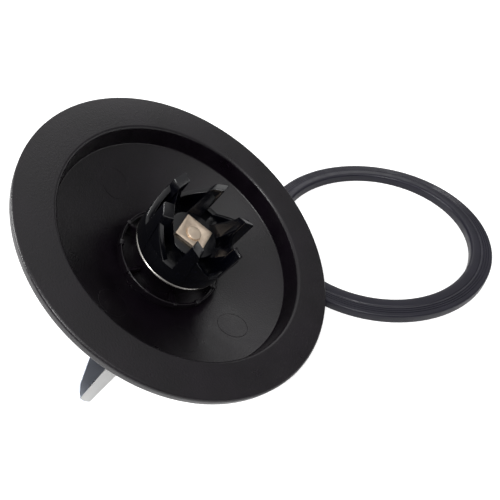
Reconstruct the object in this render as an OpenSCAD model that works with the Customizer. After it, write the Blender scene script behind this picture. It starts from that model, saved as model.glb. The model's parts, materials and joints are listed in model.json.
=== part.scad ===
// Blender blade assembly, lying coupling side up as in the photo, in millimetres.
// Every sub-part but the loose seal ring is drawn on the drive axis (z = 0 at the highest
// circle of the rim, +z towards the coupling) and then laid down by lay(). It rests on the
// tips of the two long blades and, through the rim, on the seal ring that lies under it.

/* [Base] */
// radius of the base's rim
disc_r = 54; // [50:0.5:58]
// rounding radius of the rim's edge, half its thickness
rim_round = 1.5; // [1.2:0.1:1.8]
// radius of the recess at the lip
recess_r = 42.3; // [41:0.1:42.6]
// how far the lip lies below the rim's highest circle
rim_drop = 2.2; // [1.4:0.1:2.4]
// depth of the recess at its wall, from the rim's highest circle
recess_depth = 10.1; // [9:0.1:11]
// fall of the recess floor towards the axis, in degrees
floor_slope = 24; // [20:1:25]
// radius of the spigot on the jug side, where the seal ring is stretched on
spigot_r = 44.1; // [43.8:0.1:45]

/* [Collar] */
// outer radius of the thin ribbed collar round the bearing housing
collar_r = 18.6; // [18.4:0.1:19]
// wall thickness of the collar
collar_wall = 1.1; // [0.9:0.1:1.3]
// depth of the collar's top edge below the rim's highest circle
collar_top = 16.8; // [16:0.1:17.5]

/* [Bearing] */
// radius of the housing's brim, the bright metal ring under the coupling
brim_r = 16.4; // [15.5:0.1:16.8]
// radius of the housing's tube
tube_r = 9.9; // [9.6:0.1:10.2]
// radius of the bearing bushes
bush_r = 7.5; // [7:0.1:8]
// radius of the shaft
shaft_r = 4; // [3.8:0.1:4.2]
// running clearance between shaft and bushes, on the radius
run_gap = 0.04; // [0.02:0.01:0.08]

/* [Coupling] */
// outer radius of the coupling
coup_r = 16.1; // [15.8:0.1:16.2]
// radius that the dogs' inner ends stand on
dog_in_r = 12.5; // [12:0.1:12.9]
// inner radius of the wall that carries the ramps
ramp_in_r = 14.1; // [13.7:0.1:14.5]
// radius of the flat hub round the square
hub_r = 8.6; // [8.3:0.1:8.9]
// height of the dogs' tips above the rim's highest circle
dog_top = 9.15; // [8:0.05:10]
// side of the square drive block
square = 10; // [9.5:0.1:10.4]

/* [Blades] */
// radius that the long blades sweep
long_r = 47; // [45:0.5:48]
// depth of the long blades' tips below the rim's highest circle
tip_depth = 42.9; // [42:0.1:44]
// width of a long blade's tip
tip_w = 2.4; // [2:0.1:3]
// how far the tip lies to the ground edge's side of the blade's middle
tip_off = 0.7; // [0.4:0.1:1]
// radius that the short blades sweep
short_r = 30; // [27:0.5:30]
// thickness of a blade
blade_t = 1.4; // [1.2:0.1:1.5]

/* [Seal ring] */
// outer radius of the seal ring
ring_r = 47.4; // [46:0.2:49]
// width of the seal ring's section
ring_w = 8.3; // [8:0.1:9]
// height of the seal ring
ring_h = 4; // [3.6:0.1:4.4]
// distance from the disc's centre to the ring's near edge
ring_near = 32.6; // [32.4:0.1:33.4]
// direction from the disc's centre to the ring's centre, in degrees
ring_dir = 43.3; // [42:0.1:44]

/* [Hidden] */
$fn = 96;
// heights on the axis, downwards from the coupling
sq_top = -1.9;
hub_top = -3;
// top of the coupling's plain skirt
skirt_top = -3.6;
// taper of the dogs' outsides, for moulding
draft = 0.15;
// middle radius of a dog, and its turn out of the radial line
dog_mid = 14.25;
dog_turn = 10;
square_bot = -9.6;
coup_bot = -10;
washer_t = 1;
washer_r = 7.2;
brim_top = -10.7;
brim_bot = -12.2;
boss_top = -13;
top_bush_bot = -17;
low_bush_top = -19.5;
gap_floor = -21.5;
hub_bot = -25;
low_bush_bot = -25.5;
seal_bot = -27.6;
tube_bot = -28.2;
clip_top = -29.2;
clip_bot = -30;
collar_bot = -31.6;
short_bot = collar_bot - blade_t;
long_bot = short_bot - blade_t;
spring_bot = long_bot - 1;
nut_bot = spring_bot - 3.2;
boss_r = 12.6;
gasket_r = 14.5;
gasket_t = 1.2;
lock_r = 15.4;
lock_t = 2.4;
clip_r = 6;
blade_hub_r = 8.5;
nut_r = 5.77;
bore_r = tube_r + 0.08;
// the shaft's riveted end, its threaded end, and the width over the flats
rivet_r = 2.2;
thread_r = 3;
flat_w = 6;
// small gap between pieces that are only seated in each other
seat = 0.02;
fit = 0.03;
// circle of the mould pins' marks, their radius and their places
pin_ring = 30.5;
pin_r = 5;
pin_at = [-22, -63, -106, 159];
// the tilt at which the rim rests on the ring while both blade tips touch the table
// (the ring lies a little to the side of the rim's lowest point, which hangs by side_drop)
side_drop = 0.6;
tip_low = tip_off + tip_w / 2;
rest_a = tip_depth - rim_round;
rest_b = disc_r - rim_round - tip_low;
rest_c = ring_h - side_drop + rim_round;
tilt = acos(rest_c / sqrt(rest_a * rest_a + rest_b * rest_b)) - atan2(rest_b, rest_a);
axis_h = tip_depth * cos(tilt) + tip_low * sin(tilt);
ring_in_r = ring_r - ring_w;
ring_x = (ring_near + ring_r) * cos(ring_dir);
ring_y = (ring_near + ring_r) * sin(ring_dir);
// shift that brings the middle of the whole to the origin
left = -(disc_r - rim_round) * cos(tilt) - rim_round * sin(tilt) - rim_round;
shift_x = -(left + ring_x + ring_r) / 2;
shift_y = -(ring_y + ring_r - disc_r) / 2;
// angles round the axis, 0 towards the low side of the rim
dog_a = 33.2;
square_a = -4.3;
rib_a = -4.3;
nub_a = 23.7;
wall_r = recess_r - 0.3;
cone = tan(floor_slope);
foot = -recess_depth - (wall_r - 0.8 - collar_r) * cone;

module lay() {
    translate([shift_x, shift_y, axis_h]) rotate([0, tilt, 0]) children();
}

// a tube on the axis, from z0 up to z1
module tube(ro, ri, z0, z1) {
    difference() {
        translate([0, 0, z0]) cylinder(r = ro, h = z1 - z0);
        translate([0, 0, z0 - 1]) cylinder(r = ri, h = z1 - z0 + 2);
    }
}

// points of an arc, for the turned profiles
function arc(cx, cy, r, a0, a1, n = 8) =
    [for (i = [0:n]) [cx + r * cos(a0 + (a1 - a0) * i / n), cy + r * sin(a0 + (a1 - a0) * i / n)]];

module base_profile() {
    polygon(concat(
        arc(disc_r - rim_round, -rim_round, rim_round, -90, 90, 12),
        arc(recess_r + 1.2, -rim_drop - 0.7, 1.2, 84, 180, 8),
        [[wall_r, -recess_depth + 0.8]],
        arc(wall_r - 0.8, -recess_depth + 0.8, 0.8, 0, -66, 5),
        [[collar_r + 0.7, foot], [collar_r + 0.05, foot + 0.9]],
        [[collar_r, -collar_top - 0.3], [collar_r - 0.3, -collar_top]],
        [[collar_r - collar_wall + 0.3, -collar_top], [collar_r - collar_wall, -collar_top - 0.3]],
        [[collar_r - collar_wall, gap_floor], [boss_r, gap_floor], [boss_r, boss_top]],
        [[bore_r, boss_top], [bore_r, hub_bot], [15.5, hub_bot], [18.8, hub_bot + 1.2]],
        [[22.5, -recess_depth - 2.6 - (wall_r - 22.5) * cone]],
        [[wall_r - 1.2, -recess_depth - 2.6]],
        arc(spigot_r - 2, -recess_depth - 0.1, 2, -70, 0, 6),
        [[spigot_r, -rim_round * 2]]));
}

module base() {
    color([0.05, 0.05, 0.055]) {
        difference() {
            union() {
                rotate_extrude($fn = 180) base_profile();
                // webs from the collar to the boss
                for (i = [0:5]) rotate(rib_a + 60 * i) rotate([90, 0, 0])
                    translate([0, 0, -0.6]) linear_extrude(1.2)
                        polygon([[boss_r - 0.4, gap_floor - 0.5], [boss_r - 0.4, -18.6],
                                 [collar_r - collar_wall + 0.2, -collar_top - 0.3],
                                 [collar_r - collar_wall + 0.2, gap_floor - 0.5]]);
                // small nubs across the collar's edge
                for (i = [0:5]) rotate(nub_a + 60 * i)
                    translate([collar_r - collar_wall - 0.5, -1.1, -collar_top - 2.2])
                        cube([collar_wall + 0.9, 2.2, 2.4]);
            }
            // shallow rings left by the mould's pins in the floor
            for (a = pin_at) rotate(a)
                translate([pin_ring, 0, -recess_depth - (wall_r - 0.8 - pin_ring) * cone])
                    rotate([0, -floor_slope, 0]) difference() {
                        translate([0, 0, -0.15]) cylinder(r = pin_r, h = 1, $fn = 48);
                        translate([0, 0, -1]) cylinder(r = pin_r - 0.3, h = 3, $fn = 48);
                    }
        }
    }
}

module housing() {
    color([0.78, 0.78, 0.8]) difference() {
        union() {
            translate([0, 0, tube_bot]) cylinder(r = tube_r, h = brim_bot - tube_bot + 0.1);
            translate([0, 0, brim_bot]) cylinder(r = brim_r - 0.25, h = brim_top - brim_bot);
            translate([0, 0, brim_bot + 0.25]) cylinder(r = brim_r, h = brim_top - brim_bot - 0.5);
        }
        // seats of the two bushes and the seals, and the narrower middle
        translate([0, 0, top_bush_bot - seat]) cylinder(r = bush_r + seat, h = 10);
        translate([0, 0, tube_bot - 1])
            cylinder(r = bush_r + seat, h = low_bush_top + seat - tube_bot + 1);
        translate([0, 0, tube_bot - 1]) cylinder(r = bush_r - 1.5, h = 30);
    }
}

module housing_gasket() {
    color([0.1, 0.1, 0.1]) tube(boss_r - 0.2, bore_r, boss_top, brim_bot);
}

module bush_top() {
    color([0.6, 0.42, 0.2])
        tube(bush_r, shaft_r + run_gap, top_bush_bot, coup_bot - washer_t - 0.05);
}

module bush_bottom() {
    color([0.6, 0.42, 0.2]) tube(bush_r, shaft_r + run_gap, low_bush_bot, low_bush_top);
}

module lip_seal() {
    color([0.1, 0.1, 0.1]) difference() {
        tube(bush_r, shaft_r + run_gap, seal_bot, low_bush_bot - seat);
        translate([0, 0, seal_bot - 0.1]) cylinder(r1 = shaft_r + 2, r2 = shaft_r + 0.6, h = 1.2);
    }
}

module seal_washer() {
    color([0.7, 0.7, 0.72]) tube(bush_r, shaft_r + 0.5, tube_bot, seal_bot - seat);
}

module jug_gasket() {
    color([0.1, 0.1, 0.1]) tube(gasket_r, bore_r, hub_bot - gasket_t, hub_bot);
}

module lock_nut() {
    color([0.7, 0.7, 0.72]) difference() {
        translate([0, 0, hub_bot - gasket_t - lock_t]) intersection() {
            cylinder(r = lock_r, h = lock_t, $fn = 6);
            cylinder(r1 = lock_r - 1, r2 = lock_r + 1, h = lock_t);
        }
        translate([0, 0, hub_bot - gasket_t - lock_t - 1]) cylinder(r = bore_r, h = lock_t + 3);
    }
}

module shaft() {
    color([0.75, 0.75, 0.77]) difference() {
        union() {
            translate([0, 0, square_bot]) cylinder(r = rivet_r, h = sq_top - square_bot);
            translate([0, 0, collar_bot + 1])
                cylinder(r = shaft_r, h = square_bot - collar_bot - 1);
            intersection() {
                translate([0, 0, long_bot]) cylinder(r = shaft_r, h = collar_bot + 1.5 - long_bot);
                translate([-flat_w / 2, -5, long_bot]) cube([flat_w, 10, 10]);
            }
            translate([0, 0, nut_bot + 0.6]) cylinder(r = thread_r - 0.05, h = long_bot - nut_bot);
        }
        // groove of the circlip
        tube(shaft_r + 1, shaft_r - 0.6, clip_bot - seat, clip_top + seat);
    }
}

module drive_square() {
    color([0.78, 0.66, 0.45]) difference() {
        rotate(square_a) translate([-square / 2, -square / 2, square_bot])
            cube([square, square, sq_top - square_bot]);
        translate([0, 0, square_bot - 2]) cylinder(r = rivet_r + seat, h = 14);
        // turned groove round the riveted end
        tube(2.9, 2.5, sq_top - 0.3, sq_top + 1);
    }
}

module dog() {
    // steep front face, sloping land and steep back
    translate([dog_mid, 0, 0]) rotate(-dog_turn) rotate([90, 0, 90]) translate([0, 0, -4])
        linear_extrude(8)
            polygon([[-1.43, -7], [-1.43, dog_top], [2.1, dog_top - 2.2], [2.75, dog_top - 5.15],
                     [2.75, -7]]);
}

// the wall's sloping top, from a dog's back down to the foot of the next one
module ramp() {
    rotate(24) rotate([90, 0, 90]) linear_extrude(20)
        polygon([[-4.9, -7], [-4.9, dog_top - 4.23], [5.4, skirt_top - 0.56], [5.4, -7]]);
}

// gusset between a dog and the hub, wide at the hub
module web() {
    intersection() {
        translate([0, 7, 0]) rotate([90, 0, 0]) linear_extrude(8)
            polygon([[6.3, -8.6], [6.3, hub_top - 0.2], [hub_r - 0.3, hub_top - 0.2],
                     [dog_in_r + 0.6, dog_top - 2.75], [dog_in_r + 0.6, -8.6]]);
        translate([0, 0, -9.2]) linear_extrude(18)
            polygon([[6, -0.3], [dog_in_r + 0.6, 0.1], [dog_in_r + 0.6, 1.6], [8.9, 4.4], [6.3, 5.8]]);
    }
}

// space of the dogs and ramps: inside the skirt below, and tapering above it
module crown(r_in) {
    difference() {
        union() {
            translate([0, 0, coup_bot + 1]) cylinder(r = coup_r - draft, h = skirt_top - coup_bot);
            translate([0, 0, skirt_top])
                cylinder(r1 = coup_r, r2 = coup_r - draft, h = dog_top - skirt_top + 0.5);
        }
        translate([0, 0, coup_bot]) cylinder(r = r_in, h = dog_top - coup_bot + 2);
    }
}

module coupling() {
    color([0.03, 0.03, 0.035]) difference() {
        union() {
            tube(coup_r, 6, coup_bot, -6.5);
            tube(coup_r, ramp_in_r, coup_bot, skirt_top);
            translate([0, 0, coup_bot]) cylinder(r = hub_r, h = hub_top - coup_bot);
            intersection() {
                crown(dog_in_r);
                for (i = [0:5]) rotate(dog_a + 60 * i) dog();
            }
            intersection() {
                crown(ramp_in_r);
                for (i = [0:5]) rotate(dog_a + 60 * i) ramp();
            }
            for (i = [0:5]) rotate(dog_a + 60 * i) web();
        }
        rotate(square_a) translate([-square / 2 - seat, -square / 2 - seat, square_bot])
            cube([square + seat * 2, square + seat * 2, 20]);
        translate([0, 0, coup_bot - 1]) cylinder(r = shaft_r + 0.05, h = 3);
    }
}

module top_washer() {
    color([0.7, 0.7, 0.72]) tube(washer_r, shaft_r + fit, coup_bot - washer_t, coup_bot);
}

module lower_washer() {
    color([0.85, 0.85, 0.82]) tube(washer_r, shaft_r + fit, clip_top, tube_bot - 0.45);
}

module circlip() {
    color([0.3, 0.3, 0.32]) difference() {
        tube(clip_r, shaft_r - 0.57, clip_bot, clip_top);
        translate([0, -1.3, clip_bot - 1]) cube([clip_r + 2, 2.6, 3]);
    }
}

module blade_collar() {
    color([0.7, 0.7, 0.72]) tube(washer_r, shaft_r + fit, collar_bot, clip_bot - seat);
}

// hole with two flats that fits the shaft's end
module flats(z0) {
    intersection() {
        translate([0, 0, z0 - 1]) cylinder(r = shaft_r + fit, h = 6);
        translate([-flat_w / 2 - fit, -5, z0 - 1]) cube([flat_w + fit * 2, 10, 6]);
    }
}

// two arms along Y: side view (distance, height), and plan (half widths)
module short_arms() {
    k = 11 / 17;
    rise = blade_t * sqrt(1 + k * k);
    intersection() {
        translate([-10, 0, 0]) rotate([90, 0, 90]) linear_extrude(20)
            polygon([[-13, short_bot], [13, short_bot], [short_r, short_bot + (short_r - 13) * k],
                     [short_r, short_bot + (short_r - 13) * k + rise], [12.6, collar_bot],
                     [-12.6, collar_bot], [-short_r, short_bot + (short_r - 13) * k + rise],
                     [-short_r, short_bot + (short_r - 13) * k]]);
        translate([0, 0, -50]) linear_extrude(50) for (s = [0, 180]) rotate(s)
            polygon([[-6.5, -0.01], [6.5, -0.01], [5.6, 12], [4.8, short_r - 9], [3, short_r - 3],
                     [-3.4, short_r], [-4.8, short_r - 2], [-5.6, 12]]);
    }
}

// takes the ground edge off a long arm: from a point on the ridge, in direction a
module grind(x, y, a, len) {
    k = (tip_depth + long_bot) / (long_r - 11);
    rise = blade_t * sqrt(1 + k * k);
    translate([x, y, rise - tip_depth + (long_r - y) * k]) rotate([-atan(k), 0, 0])
        rotate(a) rotate([0, -15, 0]) translate([-9, 0, 0]) cube([9, len, 5]);
}

module long_arms() {
    k = (tip_depth + long_bot) / (long_r - 11);
    rise = blade_t * sqrt(1 + k * k);
    difference() {
        intersection() {
            translate([-10, 0, 0]) rotate([90, 0, 90]) linear_extrude(20)
                polygon([[-11, long_bot], [11, long_bot], [long_r, -tip_depth],
                         [long_r, -tip_depth + rise], [11.2, short_bot], [-11.2, short_bot],
                         [-long_r, -tip_depth + rise], [-long_r, -tip_depth]]);
            translate([0, 0, -50]) linear_extrude(50) for (s = [0, 180]) rotate(s)
                polygon([[-6.5, -0.01], [6.5, -0.01], [5.6, 14], [3.9, long_r - 11],
                         [-tip_off + tip_w / 2 + 0.5, long_r - 1.5], [-tip_off + tip_w / 2, long_r],
                         [-tip_off - tip_w / 2, long_r], [-6.2, long_r - 10], [-6.4, 14]]);
        }
        for (s = [0, 180]) rotate(s) {
            grind(-2.4, 15, 0, long_r - 26);
            grind(-2.4 - 2 * sin(9), long_r - 11 - 2 * cos(9), -9, 18);
        }
    }
}

module blade_short() {
    color([0.72, 0.74, 0.78]) difference() {
        union() {
            rotate(90) short_arms();
            translate([0, 0, short_bot]) cylinder(r = blade_hub_r, h = blade_t);
        }
        flats(short_bot);
    }
}

module blade_long() {
    color([0.72, 0.74, 0.78]) difference() {
        union() {
            long_arms();
            translate([0, 0, long_bot]) cylinder(r = blade_hub_r, h = blade_t);
        }
        flats(long_bot);
    }
}

module spring_washer() {
    color([0.65, 0.65, 0.68]) difference() {
        tube(5.6, thread_r + 0.2, spring_bot, long_bot);
        rotate(40) translate([0, -0.3, spring_bot - 1]) cube([8, 0.6, 3]);
    }
}

module cap_nut() {
    color([0.75, 0.75, 0.77]) difference() {
        union() {
            intersection() {
                translate([0, 0, nut_bot]) cylinder(r = nut_r, h = spring_bot - nut_bot, $fn = 6);
                translate([0, 0, nut_bot])
                    cylinder(r1 = nut_r - 0.9, r2 = nut_r + 1.2, h = spring_bot - nut_bot);
            }
            translate([0, 0, nut_bot]) scale([1, 1, 0.42])
                intersection() {
                    sphere(r = 4.6);
                    translate([0, 0, -5]) cylinder(r = 5, h = 5.5);
                }
        }
        translate([0, 0, nut_bot + 0.5]) cylinder(r = thread_r, h = 10);
    }
}

module seal_ring() {
    w = ring_w;
    color([0.12, 0.125, 0.15]) translate([ring_x + shift_x, ring_y + shift_y, 0])
        rotate_extrude($fn = 180) polygon([
            [ring_in_r + 0.4, 0], [ring_r - 0.5, 0], [ring_r, 0.5], [ring_r, ring_h - 0.7],
            [ring_r - 0.7, ring_h], [ring_r - w * 0.24, ring_h], [ring_r - w * 0.27, ring_h - 0.5],
            [ring_r - w * 0.33, ring_h - 0.5], [ring_r - w * 0.36, ring_h],
            [ring_r - w * 0.5, ring_h], [ring_r - w * 0.53, ring_h - 0.5],
            [ring_r - w * 0.59, ring_h - 0.5], [ring_r - w * 0.62, ring_h],
            [ring_in_r + 1.2, ring_h], [ring_in_r + 0.5, ring_h - 0.5], [ring_in_r, ring_h - 1.4],
            [ring_in_r, 0.4]]);
}

lay() base();
lay() housing();
lay() housing_gasket();
lay() bush_top();
lay() bush_bottom();
lay() lip_seal();
lay() seal_washer();
lay() jug_gasket();
lay() lock_nut();
lay() shaft();
lay() drive_square();
lay() coupling();
lay() top_washer();
lay() lower_washer();
lay() circlip();
lay() blade_collar();
lay() blade_short();
lay() blade_long();
lay() spring_washer();
lay() cap_nut();
seal_ring();
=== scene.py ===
import json
import math
import bpy
from mathutils import Matrix, Vector


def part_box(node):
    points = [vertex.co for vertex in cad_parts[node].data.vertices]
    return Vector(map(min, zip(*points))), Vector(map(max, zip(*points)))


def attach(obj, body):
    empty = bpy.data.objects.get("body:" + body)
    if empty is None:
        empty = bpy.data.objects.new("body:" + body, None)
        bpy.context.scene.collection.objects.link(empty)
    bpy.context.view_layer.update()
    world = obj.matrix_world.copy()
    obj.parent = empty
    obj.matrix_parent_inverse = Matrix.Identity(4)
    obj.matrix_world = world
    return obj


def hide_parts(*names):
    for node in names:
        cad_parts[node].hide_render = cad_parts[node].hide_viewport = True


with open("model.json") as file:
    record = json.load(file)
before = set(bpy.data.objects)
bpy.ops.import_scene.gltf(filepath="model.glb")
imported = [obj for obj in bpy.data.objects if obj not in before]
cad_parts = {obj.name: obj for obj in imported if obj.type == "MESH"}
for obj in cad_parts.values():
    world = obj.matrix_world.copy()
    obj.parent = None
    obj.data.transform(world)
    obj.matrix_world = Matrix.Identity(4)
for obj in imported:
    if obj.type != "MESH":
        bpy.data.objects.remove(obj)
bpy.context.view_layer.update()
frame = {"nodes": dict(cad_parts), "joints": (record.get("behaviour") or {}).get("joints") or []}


# ---- Camera -------------------------------------------------------------------------------
# Close above the coupling, from the front and a little to the right, with a short lens, as
# the photograph was taken.
eye = Vector((0.01244, -0.13013, 0.136))
sight = Vector((-0.168, 0.702, -0.692)).normalized()
across = Vector((0.969, 0.245, 0.013))
across = (across - sight * across.dot(sight)).normalized()
upward = across.cross(sight)
bpy.ops.object.select_all(action="DESELECT")
bpy.ops.object.camera_add()
camera = bpy.context.object
camera.name = "camera"
camera.data.sensor_width = 36.0
camera.data.lens = 34.2
camera.data.clip_start = 0.005
camera.data.clip_end = 20.0
camera.matrix_world = (Matrix.Translation(eye)
                       @ Matrix((across, upward, -sight)).transposed().to_4x4())
bpy.context.scene.camera = camera


# ---- White card and lamps -----------------------------------------------------------------
# The part lies on a wide sheet of white card that runs out into a white surrounding. A broad
# soft lamp stands low at the left like a window and a small one in front, with weak ones
# behind and high up at the right.
card_glow, card_shine = 0.55, 0.1
bpy.ops.mesh.primitive_circle_add(vertices=96, radius=1.6, fill_type="NGON")
card = bpy.context.object
card.name = "card"
card_white = bpy.data.materials.new("card_white")
card_white.use_nodes = True
nodes, links = card_white.node_tree.nodes, card_white.node_tree.links
shader = nodes["Principled BSDF"]
shader.inputs["Base Color"].default_value = (0.82, 0.82, 0.82, 1.0)
shader.inputs["Roughness"].default_value = 0.9
shader.inputs["Specular IOR Level"].default_value = 0.1

# the card glows a little to the eye, and less in what is mirrored, but lights nothing
ray = nodes.new("ShaderNodeLightPath")
mirrored = nodes.new("ShaderNodeMath")
mirrored.operation = "MULTIPLY"
mirrored.inputs[1].default_value = card_shine
links.new(ray.outputs["Is Glossy Ray"], mirrored.inputs[0])
seen = nodes.new("ShaderNodeMath")
seen.operation = "MULTIPLY_ADD"
seen.inputs[1].default_value = card_glow
links.new(ray.outputs["Is Camera Ray"], seen.inputs[0])
links.new(mirrored.outputs[0], seen.inputs[2])
glow = nodes.new("ShaderNodeEmission")
links.new(seen.outputs[0], glow.inputs["Strength"])
both = nodes.new("ShaderNodeAddShader")
links.new(shader.outputs[0], both.inputs[0])
links.new(glow.outputs[0], both.inputs[1])
links.new(both.outputs[0], nodes["Material Output"].inputs["Surface"])
card.data.materials.append(card_white)

# the surrounding is white to the eye; as a light it is a soft dome, dim near the horizon and
# brightest halfway up
world = bpy.data.worlds.new("studio")
bpy.context.scene.world = world
world.use_nodes = True
nodes, links = world.node_tree.nodes, world.node_tree.links
way = nodes.new("ShaderNodeTexCoord")
height = nodes.new("ShaderNodeSeparateXYZ")
links.new(way.outputs["Generated"], height.inputs[0])
dome = nodes.new("ShaderNodeValToRGB")
dome_low, dome_high = dome.color_ramp.elements
dome_low.position = 0.4
dome_low.color = (0.24, 0.24, 0.24, 1.0)
dome_high.position = 1.0
dome_high.color = (0.7, 0.7, 0.7, 1.0)
dome.color_ramp.elements.new(0.7).color = (0.85, 0.85, 0.85, 1.0)
links.new(height.outputs["Z"], dome.inputs["Fac"])
ray = nodes.new("ShaderNodeLightPath")
level = nodes.new("ShaderNodeMath")
level.operation = "MAXIMUM"
links.new(ray.outputs["Is Camera Ray"], level.inputs[0])
links.new(dome.outputs["Color"], level.inputs[1])
links.new(level.outputs[0], nodes["Background"].inputs["Strength"])
nodes["Background"].inputs["Color"].default_value = (1.0, 1.0, 1.0, 1.0)

# each lamp: its direction round and above the card in degrees, its distance and width in
# metres, and its power in watts
for name, turn, rise, reach, width, watts in (
        ("window", 197, 29, 1.1, 0.5, 8.0),
        ("back", 92, 29, 1.0, 0.5, 0.8),
        ("above", -30, 65, 1.0, 0.3, 0.9),
        ("front", 267, 50, 1.0, 0.2, 3.5)):
    turn, rise = math.radians(turn), math.radians(rise)
    spot = reach * Vector((math.cos(turn) * math.cos(rise),
                           math.sin(turn) * math.cos(rise),
                           math.sin(rise)))
    bpy.ops.object.light_add(type="AREA", location=spot)
    lamp = bpy.context.object
    lamp.name = name
    lamp.data.size = width
    lamp.data.energy = watts
    lamp.rotation_mode = "QUATERNION"
    lamp.rotation_quaternion = (-spot).to_track_quat("-Z", "Y")
bpy.context.scene.view_settings.view_transform = "Standard"


# ---- Base ---------------------------------------------------------------------------------
# One moulding in black plastic with a fine spark-eroded surface: a wide rim, a recess with a
# dished floor, and a thin collar that six webs tie to the boss. Six pegs and six nubs sit on
# the collar's edge, and the mould's ejector pins have left round marks in the floor.
mm = 0.001
weld = 0.000002
drive = frame["joints"][0]
axis_turn = Vector((0.0, 0.0, 1.0)).rotation_difference(Vector(drive["axis"]))
laid = Matrix.Translation(Vector(drive["pos_m"])) @ axis_turn.to_matrix().to_4x4()


def alone(piece):
    """Selects one piece and nothing else."""
    bpy.ops.object.select_all(action="DESELECT")
    piece.select_set(True)
    bpy.context.view_layer.objects.active = piece
    return piece


def settled():
    """Puts the selected piece's place, turn and size into its mesh."""
    bpy.ops.object.transform_apply(location=True, rotation=True, scale=True)


def drawn(name, corners):
    """Draws a closed outline through corners in mm, and stays in edit mode."""
    bpy.ops.object.select_all(action="DESELECT")
    bpy.ops.mesh.primitive_plane_add(size=mm, location=tuple(c * mm for c in corners[0]))
    piece = bpy.context.object
    piece.name = name
    bpy.ops.object.mode_set(mode="EDIT")
    bpy.ops.mesh.merge(type="CENTER")
    for last, corner in zip(corners, corners[1:] + corners[:1]):
        step = tuple((b - a) * mm for a, b in zip(last, corner))
        bpy.ops.mesh.extrude_vertices_move(TRANSFORM_OT_translate={"value": step})
    bpy.ops.mesh.select_all(action="SELECT")
    bpy.ops.mesh.remove_doubles(threshold=weld)
    return piece


def bend(r, z, radius, start, stop, steps):
    """Points of a rounding in a turned outline, in mm, from one angle to the other."""
    angles = [math.radians(start + (stop - start) * i / steps) for i in range(steps + 1)]
    return [(r + radius * math.cos(a), z + radius * math.sin(a)) for a in angles]


def turned(name, outline, steps=192):
    """Spins a closed outline of (radius, height) in mm round the upright axis."""
    piece = drawn(name, [(r, 0.0, z) for r, z in outline])
    bpy.ops.mesh.spin(steps=steps, angle=math.tau, center=(0, 0, 0), axis=(0, 0, 1))
    bpy.ops.mesh.select_all(action="SELECT")
    bpy.ops.mesh.remove_doubles(threshold=weld)
    bpy.ops.mesh.normals_make_consistent(inside=False)
    bpy.ops.object.mode_set(mode="OBJECT")
    settled()
    return piece


def rounded(piece, width, segments=2, angle=30):
    """Takes the edges sharper than an angle off a piece, by a width in mm."""
    bpy.context.view_layer.objects.active = piece
    bevel = piece.modifiers.new("edge", "BEVEL")
    bevel.width = width * mm
    bevel.segments = segments
    bevel.limit_method = "ANGLE"
    bevel.angle_limit = math.radians(angle)
    bpy.ops.object.modifier_apply(modifier=bevel.name)
    return piece


def turned_by(piece, turn):
    """Turns a piece round the upright axis, in degrees; with no window the sign is reversed."""
    alone(piece)
    bpy.ops.transform.rotate(value=-math.radians(turn), orient_axis="Z",
                             center_override=(0, 0, 0))
    settled()
    return piece


def block(spot, size, turn=0.0):
    """A block of a size in mm, set at its place and then turned round the upright axis."""
    bpy.ops.object.select_all(action="DESELECT")
    bpy.ops.mesh.primitive_cube_add(size=1.0, location=Vector(spot) * mm,
                                    scale=Vector(size) * mm)
    return turned_by(bpy.context.object, turn)


def cut(piece, spot, away):
    """Cuts off all that lies beyond a plane and closes the cut."""
    bpy.context.view_layer.objects.active = piece
    bpy.ops.object.mode_set(mode="EDIT")
    bpy.ops.mesh.select_all(action="SELECT")
    bpy.ops.mesh.bisect(plane_co=Vector(spot) * mm, plane_no=Vector(away).normalized(),
                        use_fill=True, clear_outer=True)
    bpy.ops.object.mode_set(mode="OBJECT")
    return piece


def ringed(piece, count=6):
    """A piece and its copies, evenly round the upright axis, each with its own mesh."""
    copies = [piece]
    for i in range(1, count):
        alone(piece)
        bpy.ops.object.duplicate(linked=False)
        copies.append(turned_by(bpy.context.object, 360.0 * i / count))
    return copies


def joined(name, parts):
    """Makes one piece of several."""
    bpy.ops.object.select_all(action="DESELECT")
    for part in parts:
        part.select_set(True)
    bpy.context.view_layer.objects.active = parts[0]
    if len(parts) > 1:
        bpy.ops.object.join()
    piece = bpy.context.object
    piece.name = name
    piece.data.name = name
    return piece


def seated(piece, body, node, finishes, place=laid, angle=35):
    """Shades a piece, puts it in its place, gives it its finishes, sets it on its body and hides
    its CAD node.
    """
    alone(piece)
    bpy.ops.object.shade_smooth_by_angle(angle=math.radians(angle))
    piece.matrix_world = place
    settled()
    kinds = [face.material_index for face in piece.data.polygons]
    piece.data.materials.clear()
    for made in finishes:
        piece.data.materials.append(made)
    for face, kind in zip(piece.data.polygons, kinds):
        face.material_index = min(kind, len(finishes) - 1)
    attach(piece, body)
    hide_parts(node)


def finish(name, colour, roughness, metallic=0.0, specular=0.5):
    """A new material with its plain values, and the shader that patterns go into."""
    made = bpy.data.materials.new(name)
    made.use_nodes = True
    shader = made.node_tree.nodes["Principled BSDF"]
    shader.inputs["Base Color"].default_value = (*colour, 1.0)
    shader.inputs["Roughness"].default_value = roughness
    shader.inputs["Metallic"].default_value = metallic
    shader.inputs["Specular IOR Level"].default_value = specular
    return made, shader


def upright(shader):
    """Object coordinates turned back so that the pattern's Z runs along the drive axis."""
    tree = shader.id_data
    place = tree.nodes.new("ShaderNodeTexCoord")
    turn = tree.nodes.new("ShaderNodeMapping")
    back = laid.inverted()
    turn.inputs["Location"].default_value = back.to_translation()
    turn.inputs["Rotation"].default_value = back.to_euler()
    tree.links.new(place.outputs["Object"], turn.inputs["Vector"])
    return turn.outputs[0]


def speckle(shader, place, scale, detail):
    """A noise with so many specks to the metre and so many finer layers."""
    tree = shader.id_data
    noise = tree.nodes.new("ShaderNodeTexNoise")
    noise.inputs["Scale"].default_value = scale
    noise.inputs["Detail"].default_value = detail
    tree.links.new(place, noise.inputs["Vector"])
    return noise.outputs["Fac"]


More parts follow.
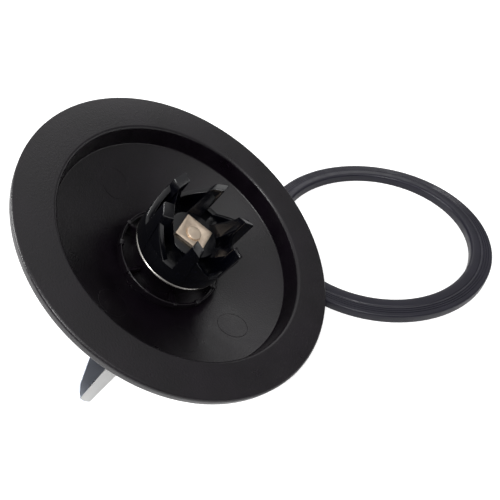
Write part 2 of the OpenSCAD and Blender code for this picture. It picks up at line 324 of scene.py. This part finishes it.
def mottle(shader, socket, pattern, low, high):
    """Moves a socket by a pattern; low and high are (pattern's value, red, green, blue)."""
    tree = shader.id_data
    ramp = tree.nodes.new("ShaderNodeValToRGB")
    for stop, (value, *colour) in zip(ramp.color_ramp.elements, (low, high)):
        stop.position = value
        stop.color = (*colour, 1.0)
    tree.links.new(pattern, ramp.inputs["Fac"])
    tree.links.new(ramp.outputs["Color"], shader.inputs[socket])


def gloss(shader, pattern, low, high):
    """Moves the roughness by a pattern; low and high are (pattern's value, roughness)."""
    mottle(shader, "Roughness", pattern, (low[0],) + (low[1],) * 3, (high[0],) + (high[1],) * 3)


def relief(shader, pattern, strength, depth):
    """Bumps a surface by a pattern, to a depth in mm."""
    tree = shader.id_data
    bump = tree.nodes.new("ShaderNodeBump")
    bump.inputs["Strength"].default_value = strength
    bump.inputs["Distance"].default_value = depth * mm
    tree.links.new(pattern, bump.inputs["Height"])
    tree.links.new(bump.outputs["Normal"], shader.inputs["Normal"])


base_black, shader = finish("base_black", (0.002, 0.0018, 0.0026), 0.32)
place = upright(shader)
mottle(shader, "Base Color", speckle(shader, place, 60.0, 4.0),
       (0.3, 0.0018, 0.0008, 0.0022), (0.7, 0.0052, 0.0028, 0.006))
gloss(shader, speckle(shader, place, 130.0, 5.0), (0.3, 0.27), (0.7, 0.36))
relief(shader, speckle(shader, place, 2000.0, 3.0), 0.6, 0.12)

# radii and heights in mm, with the rim's highest circle at height 0
rim_r, rim_bottom = 54.0, -3.0
recess_r, floor_r, floor_edge = 42.3, 41.2, -10.1
collar_r, collar_bore, gap_floor = 18.6, 17.5, -21.5
boss_r, boss_top, boss_bore, boss_bottom = 12.6, -13.0, 9.98, -25.0
wall, spigot_r = 2.6, 44.1
slope = math.tan(math.radians(24.0))


def floor_at(r):
    """Height of the recess's dished floor at a radius, in mm."""
    return floor_edge - (floor_r - r) * slope


# the rim, the recess's wall and floor, the collar, the gap and the boss, the underside
outline = bend(rim_r - 0.7, rim_bottom + 0.7, 0.7, -90, 0, 6)
outline += bend(rim_r - 0.8, -0.8, 0.8, 0, 88, 8)
outline += bend(recess_r + 1.2, -2.9, 1.2, 84, 180, 12)
outline += bend(floor_r, -9.3, 0.8, 0, -66, 8)
outline += [(collar_r, floor_at(collar_r)), (collar_r - 0.05, -17.15)]
outline += bend(collar_r - 0.35, -17.1, 0.25, 0, 180, 8)
outline += [(collar_bore + 0.45, -17.5), (collar_bore, -17.6), (collar_bore, gap_floor)]
outline += [(boss_r, gap_floor), (boss_r, boss_top - 0.2), (boss_r - 0.2, boss_top)]
outline += [(boss_bore, boss_top), (boss_bore, boss_bottom)]
outline += [(15.5, boss_bottom), (18.8, boss_bottom + 1.2)]
outline += [(22.5, floor_edge - wall - 19.5 * slope), (40.8, floor_edge - wall)]
outline += bend(spigot_r - 2.0, -10.2, 2.0, -70, 0, 8)
outline += [(spigot_r, rim_bottom - 0.3), (44.3, rim_bottom)]
shell = turned("base_part", outline, 256)

# the webs and the pegs stand in line with each other, and the nubs between them
web_turn, nub_turn = -4.3, 23.7
web = block((15.1, 0.0, -18.9), (5.0, 1.2, 5.6))
cut(web, (12.2, 0.0, -18.6), (-0.3, 0.0, 1.0))
web = turned_by(rounded(web, 0.15), web_turn)
nub = rounded(block((18.1, 0.0, -17.8), (1.6, 1.8, 2.4), nub_turn), 0.2)
peg = rounded(block((18.1, 0.0, -17.8), (1.6, 1.3, 2.2), web_turn), 0.2)
parts = [shell] + ringed(web) + ringed(nub) + ringed(peg)

# each pin mark is a fine raised ring that follows the floor
mark_r, mark_line, mark_spot = 4.85, 0.05, 31.0
for turn in (-24.5, -62.5, -107.5, 161.0):
    bpy.ops.object.select_all(action="DESELECT")
    bpy.ops.mesh.primitive_torus_add(major_radius=mark_r * mm, minor_radius=mark_line * mm,
                                     major_segments=64, minor_segments=8,
                                     location=(mark_spot * mm, 0.0, 0.0))
    mark = turned_by(bpy.context.object, turn)
    for corner in mark.data.vertices:
        corner.co.z += floor_at(math.hypot(corner.co.x, corner.co.y) / mm) * mm
    parts.append(mark)
seated(joined("base_part", parts), "base_unit", "base", [base_black])


# ---- Bearing housing ----------------------------------------------------------------------
# A steel tube turned in one piece with a thin brim, pressed down on the base's boss. Only the
# edge of its brim shows, as the bright ring under the coupling.
turned_steel, shader = finish("turned_steel", (0.55, 0.53, 0.5), 0.28, 1.0)
tree = shader.id_data
place = upright(shader)

# the turning tool's tracks run round the axis: a noise that changes with the radius alone
flat = tree.nodes.new("ShaderNodeVectorMath")
flat.operation = "MULTIPLY"
flat.inputs[1].default_value = (1.0, 1.0, 0.0)
tree.links.new(place, flat.inputs[0])
radius = tree.nodes.new("ShaderNodeVectorMath")
radius.operation = "LENGTH"
tree.links.new(flat.outputs[0], radius.inputs[0])
tracks = tree.nodes.new("ShaderNodeTexNoise")
tracks.noise_dimensions = "1D"
tracks.inputs["Scale"].default_value = 9000.0
tracks.inputs["Detail"].default_value = 3.0
tree.links.new(radius.outputs["Value"], tracks.inputs["W"])
relief(shader, tracks.outputs["Fac"], 0.3, 0.03)
gloss(shader, speckle(shader, place, 220.0, 4.0), (0.35, 0.2), (0.75, 0.42))

tube_r, tube_bore, tube_bottom = 9.9, 7.52, -28.2
brim_top, brim_bottom = -10.7, -11.5
outline = [(tube_bore, brim_top), (15.45, brim_top), (15.58, -10.74),
           (15.88, -11.03), (15.92, -11.2), (15.8, brim_bottom + 0.05), (15.6, brim_bottom),
           (tube_r, brim_bottom), (tube_r, tube_bottom + 0.3), (tube_r - 0.3, tube_bottom),
           (tube_bore, tube_bottom)]
seated(turned("housing_part", outline), "base_unit", "housing",
       [turned_steel])


# ---- Coupling -----------------------------------------------------------------------------
# Moulded in glossy black plastic. Six dogs stand on a ring: each has a steep driving face, a
# small flat top and a long back that slopes down to the next dog's foot. A climbing web
# ties each dog to the hub, which holds the square block. All edges are slightly rounded.
gloss_black, shader = finish("gloss_black", (0.0008, 0.0009, 0.0024), 0.22)
place = upright(shader)
gloss(shader, speckle(shader, place, 300.0, 4.0), (0.3, 0.16), (0.75, 0.28))
relief(shader, speckle(shader, place, 420.0, 2.0), 0.25, 0.06)

coupling_r, edge_r, coupling_bottom, skirt_top = 16.1, 15.95, -10.0, -3.6
well_r, well_floor = 14.1, -6.5
hub_r, hub_top, hub_bore = 8.6, -3.0, 5.0
dog_mid, dog_in_r, dog_top, dog_lean = 14.25, 12.5, 9.15, 10.0


def merged(piece, other, how):
    """Joins, cuts or trims a solid with another, which is used up."""
    bpy.ops.object.select_all(action="DESELECT")
    bpy.context.view_layer.objects.active = piece
    solid = piece.modifiers.new("solid", "BOOLEAN")
    solid.object = other
    solid.operation = how
    solid.solver = "EXACT"
    bpy.ops.object.modifier_apply(modifier=solid.name)
    bpy.data.objects.remove(other)
    return piece


def crown(inside, outside, outside_top, top, turn):
    """The ring, in mm, that trims a block to the coupling's inner and outer radius."""
    outline = [(inside, well_floor - 0.4), (outside, well_floor - 0.4),
               (outside, skirt_top), (outside_top, top), (inside, top)]
    return turned_by(turned("crown", outline, 36), turn)


# the skirt, the well behind it and the hub
outline = [(hub_bore, coupling_bottom), (edge_r, coupling_bottom),
           (coupling_r, coupling_bottom + 0.15), (coupling_r, skirt_top - 0.15),
           (coupling_r - 0.05, skirt_top - 0.05), (edge_r, skirt_top),
           (well_r + 0.15, skirt_top), (well_r + 0.02, skirt_top - 0.06),
           (well_r, -3.8), (well_r, well_floor), (hub_r, well_floor)]
outline += bend(hub_r - 0.25, hub_top - 0.25, 0.25, 0, 90, 4) + [(hub_bore, hub_top)]
coupling = turned("coupling_part", outline)

# the dog: its land and its rear chamfer are cut off a block, which leans out of the radial
# line and is trimmed to the crown; edges too short to be rounded are closed up first
dog = block((dog_mid, 0.66, 1.2), (8.0, 4.18, 16.4))
cut(dog, (dog_mid, -1.43, dog_top), (0.0, 2.2, 3.53))
cut(dog, (dog_mid, 2.1, dog_top - 2.2), (0.0, 2.95, 0.65))
bpy.ops.transform.rotate(value=math.radians(dog_lean), orient_axis="Z",
                         center_override=(dog_mid * mm, 0.0, 0.0))
settled()
merged(dog, crown(dog_in_r, coupling_r, edge_r, dog_top + 0.45, 6.5), "INTERSECT")
bpy.ops.object.mode_set(mode="EDIT")
bpy.ops.mesh.select_all(action="SELECT")
bpy.ops.mesh.remove_doubles(threshold=0.1 * mm)
bpy.ops.object.mode_set(mode="OBJECT")
rounded(dog, 0.3, 4)

# the ramp: one plane from the dog's back down to the gap before the next
ramp = block((15.0, 0.0, -1.0), (8.0, 10.0, 12.0))
cut(ramp, (15.0, 0.0, 0.6), (0.0, 0.8816, 1.0))
cut(ramp, (15.0, 0.0, well_floor - 0.3), (0.0, 0.0, -1.0))
turned_by(ramp, 24.0)
merged(ramp, crown(well_r, coupling_r, coupling_r - 0.1, 6.0, 5.0), "INTERSECT")
rounded(ramp, 0.28, 4)

# the web that ties the dog to the hub: two upright sides and a top that climbs to the land
web = block((9.45, 2.5, -0.3), (6.3, 7.6, 16.6))
cut(web, (9.3, -0.3, 0.0), (-0.4, -3.2, 0.0))
cut(web, (7.3, 4.8, 0.0), (2.4, 5.0, 0.0))
cut(web, (7.3, 4.8, hub_top), (-47.4, -18.6, 20.7))
rounded(web, 0.3, 4)

# a fine line that leans down the skirt behind each dog and stands 0.1 mm proud of it
line = block((15.5, 2.5, -3.0), (3.0, 0.24, 13.4))
bpy.ops.transform.rotate(value=-math.radians(9.8), orient_axis="X",
                         center_override=Vector((15.5, 2.5, 3.7)) * mm)
settled()
skin = turned("skin", [(15.7, -9.7), (16.22, -9.7), (16.17, 9.0), (15.7, 9.0)])
merged(line, skin, "INTERSECT")
for part in (dog, ramp, web, line):
    for copy in ringed(turned_by(part, 33.2)):
        merged(coupling, copy, "UNION")
seated(coupling, "rotor", "coupling", [gloss_black])


# ---- Square drive block and shaft ---------------------------------------------------------
# The block is machined from brass and pressed in the coupling. The shaft's end is riveted
# over in it, in a shallow turned groove, and its other end has two flats for the blades and
# a thread for the cap nut.
pale_brass, shader = finish("pale_brass", (0.62, 0.5, 0.36), 0.46, 1.0)
place = upright(shader)
mottle(shader, "Base Color", speckle(shader, place, 380.0, 5.0),
       (0.3, 0.66, 0.54, 0.43), (0.75, 0.84, 0.71, 0.57))
gloss(shader, speckle(shader, place, 700.0, 4.0), (0.3, 0.42), (0.7, 0.56))
relief(shader, speckle(shader, place, 900.0, 3.0), 0.3, 0.05)

square_side, square_top, square_tall, square_turn = 10.0, -1.9, 7.7, -4.3
square = rounded(block((0.0, 0.0, square_top - square_tall / 2),
                       (square_side, square_side, square_tall), square_turn), 0.2)
bpy.ops.object.select_all(action="DESELECT")
bpy.ops.mesh.primitive_cone_add(vertices=64, radius1=2.6 * mm, radius2=3.85 * mm,
                                depth=0.8 * mm, location=(0.0, 0.0, -2.1 * mm))
merged(square, bpy.context.object, "DIFFERENCE")
seated(joined("square_block", [square]), "rotor", "drive_square", [pale_brass])

# the shaft: its thick part with the riveted end, its thread and the flats between them
shaft_r, rivet_r, shoulder, thread_r, thread_bottom = 4.0, 2.55, -31.0, 2.95, -37.6
outline = [(0.0, shoulder), (shaft_r - 0.1, shoulder), (shaft_r, shoulder + 0.1),
           (shaft_r, -9.6), (rivet_r, -9.6), (rivet_r, -2.3)]
outline += bend(rivet_r - 0.3, -2.2, 0.3, 0, 80, 5) + [(1.6, -1.88), (0.8, -1.85), (0.0, -1.84)]
shank = turned("shaft_part", outline, 96)
tail = turned("tail", [(0.0, thread_bottom), (thread_r - 0.25, thread_bottom),
                       (thread_r, -37.3), (thread_r, -34.0), (0.0, -34.0)], 48)
flats = rounded(block((0.0, 0.0, -32.8), (5.9, 7.0, 3.8)), 0.2)
seated(joined("shaft_part", [shank, tail, flats]), "rotor", "shaft",
       [pale_brass])


# ---- Seal ring ----------------------------------------------------------------------------
# Moulded in black rubber, flat underneath, with fine ridges round its top and a rounded inner
# lip. It is off the base and lies loose, under the edge of the rim.
rubber_black, shader = finish("rubber_black", (0.005, 0.0045, 0.012), 0.36, specular=0.4)
place = shader.id_data.nodes.new("ShaderNodeTexCoord").outputs["Object"]
mottle(shader, "Base Color", speckle(shader, place, 120.0, 5.0),
       (0.3, 0.003, 0.0025, 0.009), (0.75, 0.007, 0.006, 0.015))
gloss(shader, speckle(shader, place, 260.0, 4.0), (0.3, 0.28), (0.7, 0.44))
relief(shader, speckle(shader, place, 1500.0, 3.0), 0.25, 0.06)

low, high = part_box("seal_ring")
ring_spot = Matrix.Translation(((low.x + high.x) / 2, (low.y + high.y) / 2, 0.0))
r_out, r_in, tall = 47.4, 39.1, 4.0
land, groove = tall - 0.2, tall - 0.38
outline = [(r_in + 0.4, 0.0), (r_out - 0.5, 0.0), (r_out - 0.12, 0.15), (r_out, 0.5)]
outline += bend(r_out - 0.8, tall - 1.0, 0.8, 0, 90, 6)
for i in range(3):
    edge = r_out - 1.5 - i * 0.85
    outline += [(edge, land), (edge - 0.12, groove), (edge - 0.3, groove), (edge - 0.42, land)]
outline += [(43.2, land), (43.0, tall - 0.3), (42.8, tall - 0.12), (42.4, tall)]
outline += bend(r_in + 1.2, tall - 1.2, 1.2, 90, 180, 8) + [(r_in, 0.4), (r_in + 0.12, 0.12)]
seated(turned("seal_ring_part", outline, 256), "base_unit", "seal_ring",
       [rubber_black], place=ring_spot)


# ---- Blades -------------------------------------------------------------------------------
# Two strips of stainless steel, stamped, bent and ground: the long pair runs away from the
# base and the short pair, turned by a quarter, towards it. Each arm has one ground edge.
def drawn_out(shader, place, stretch):
    """A place scaled along each axis, so that a pattern on it runs in lines."""
    tree = shader.id_data
    scaled = tree.nodes.new("ShaderNodeMapping")
    scaled.inputs["Scale"].default_value = stretch
    tree.links.new(place, scaled.inputs["Vector"])
    return scaled.outputs[0]


blade_steel, shader = finish("blade_steel", (0.7, 0.75, 0.86), 0.3, 1.0)
place = upright(shader)
brushed = drawn_out(shader, place, (1.0, 0.05, 1.0))
relief(shader, speckle(shader, brushed, 2400.0, 4.0), 0.3, 0.03)
gloss(shader, speckle(shader, place, 150.0, 4.0), (0.3, 0.26), (0.75, 0.34))

# the ground faces: a rougher satin steel whose near-white, partly non-metallic colour is a
# painted reflection of the white card
ground_steel_painted_reflection, shader = finish("ground_steel_painted_reflection", (0.97, 0.97, 0.96), 0.55, 0.3)
scratched = drawn_out(shader, upright(shader), (0.06, 1.0, 1.0))
relief(shader, speckle(shader, scratched, 3200.0, 3.0), 0.3, 0.03)

blade_thick, blade_hub_r = 1.4, 8.5


def picked(piece, test):
    """Selects, in edit mode, the corners whose place in mm passes a test."""
    bpy.ops.object.mode_set(mode="EDIT")
    bpy.ops.mesh.select_mode(type="VERT")
    bpy.ops.mesh.select_all(action="DESELECT")
    bpy.ops.object.mode_set(mode="OBJECT")
    for corner in piece.data.vertices:
        corner.select = bool(test(*(corner.co / mm)))
    bpy.ops.object.mode_set(mode="EDIT")


def arms(name, outline, top, fold, fall, ridge, drops):
    """A stamped strip with two arms along Y, from half its outline as seen from above.

    The arms bend at the fold and go down by fall for each mm outwards. The ridge, where the
    ground face starts, runs between two of the outline's corners, and drops says how far the
    grinding lowers each corner beside it. The ground face gets the second finish.
    """
    turn = math.atan(fall)
    middle = top - blade_thick / 2
    half = [(x, y if y < fold else fold + (y - fold) / math.cos(turn)) for x, y in outline]
    whole = half + [(-x, -y) for x, y in half]
    piece = drawn(name, [(x, y, top) for x, y in whole])
    bpy.ops.object.mode_set(mode="OBJECT")
    settled()
    bpy.ops.object.mode_set(mode="EDIT")
    bpy.ops.mesh.select_all(action="SELECT")
    bpy.ops.mesh.edge_face_add()
    (x0, y0), (x1, y1) = [half[k] for k in ridge]
    beside = Vector((y1 - y0, x0 - x1, 0.0)).normalized()
    for side in (1, -1):
        bpy.ops.mesh.select_all(action="SELECT")
        bpy.ops.mesh.bisect(plane_co=(0, side * fold * mm, 0), plane_no=(0, 1, 0))
        bpy.ops.mesh.select_all(action="SELECT")
        bpy.ops.mesh.bisect(plane_co=(side * x0 * mm, side * y0 * mm, 0), plane_no=beside)
    bpy.ops.mesh.select_all(action="SELECT")
    bpy.ops.mesh.extrude_region_move(
        TRANSFORM_OT_translate={"value": (0, 0, -blade_thick * mm)})
    for k, drop in drops:
        for side in (1, -1):
            gx, gy = half[k]
            picked(piece, lambda x, y, z:
                   math.hypot(x - side * gx, y - side * gy) < 0.05 and z > middle)
            bpy.ops.transform.translate(value=(0.0, 0.0, -drop * mm))
    bpy.ops.object.mode_set(mode="OBJECT")
    for face in piece.data.polygons:
        face.material_index = 1 if 0.6 < abs(face.normal.z) < 0.995 else 0
    for side in (1, -1):
        picked(piece, lambda x, y, z: side * y > fold + 0.01)
        bpy.ops.transform.rotate(value=side * turn, orient_axis="X",
                                 center_override=(0, side * fold * mm, middle * mm))
    bpy.ops.mesh.select_all(action="SELECT")
    bpy.ops.mesh.normals_make_consistent(inside=False)
    bpy.ops.object.mode_set(mode="OBJECT")
    return rounded(piece, 0.06, 2, 12)


# the round middle, one side of which both outlines start with and the other they end with
hub_right = [(blade_hub_r * math.cos(math.radians(a)), blade_hub_r * math.sin(math.radians(a)))
             for a in (0, 10, 20, 30, 40)]
hub_left = [(-x, y) for x, y in hub_right[:0:-1]]

long_top, long_fold, long_fall = -33.0, 11.0, 8.5 / 36.0
long_arm = hub_right + [(5.6, 14.0), (4.1, 36.0), (2.4, 43.6), (1.0, 46.2), (0.2, 47.0),
                        (-1.6, 47.1), (-2.9, 46.5), (-4.1, 44.4), (-5.4, 40.8),
                        (-6.3, 36.6), (-6.4, 14.0)] + hub_left
long_blade = arms("blade_long_part", long_arm, long_top, long_fold, long_fall, ridge=(15, 9),
                  drops=((14, 1.1), (13, 1.08), (12, 0.95), (11, 0.7), (10, 0.4)))
seated(long_blade, "rotor", "blade_long", [blade_steel, ground_steel_painted_reflection],
       angle=10)

short_top, short_fold, short_fall = -31.6, 12.8, -11.0 / 17.0
short_arm = hub_right + [(5.6, 12.0), (4.8, 21.0), (3.0, 27.0), (-1.2, 29.2), (-3.4, 30.0),
                         (-4.8, 28.0), (-5.6, 12.0)] + hub_left
short_blade = arms("blade_short_part", short_arm, short_top, short_fold, short_fall,
                   ridge=(11, 8), drops=((10, 0.9), (9, 0.6)))
short_blade.data.transform(Matrix.Rotation(math.radians(90), 4, "Z"))
seated(short_blade, "rotor", "blade_short", [blade_steel, ground_steel_painted_reflection],
       angle=10)


# ---- Small metal and rubber pieces --------------------------------------------------------
# The nuts, washers, bushes, gaskets and seals hold the unit together and are mostly hidden.
# They keep their CAD form and get their own finishes.
zinc, shader = finish("zinc_plated", (0.62, 0.62, 0.6), 0.34, 1.0)
gloss(shader, speckle(shader, upright(shader), 240.0, 4.0), (0.3, 0.24), (0.7, 0.5))
bronze, shader = finish("sintered_bronze", (0.4, 0.26, 0.13), 0.55, 1.0)
mottle(shader, "Base Color", speckle(shader, upright(shader), 1800.0, 3.0),
       (0.35, 0.3, 0.19, 0.09), (0.7, 0.5, 0.34, 0.18))
spring_steel, shader = finish("oiled_spring_steel", (0.12, 0.12, 0.125), 0.4, 1.0)
gloss(shader, speckle(shader, upright(shader), 500.0, 3.0), (0.3, 0.3), (0.7, 0.5))

for made, names in ((zinc, ("lock_nut", "cap_nut", "spring_washer", "blade_collar")),
                    (turned_steel, ("top_washer", "lower_washer", "seal_washer")),
                    (bronze, ("bush_top", "bush_bottom")),
                    (spring_steel, ("circlip",)),
                    (rubber_black, ("housing_gasket", "jug_gasket", "lip_seal"))):
    for name in names:
        piece = frame["nodes"][name]
        piece.data.materials.clear()
        piece.data.materials.append(made)
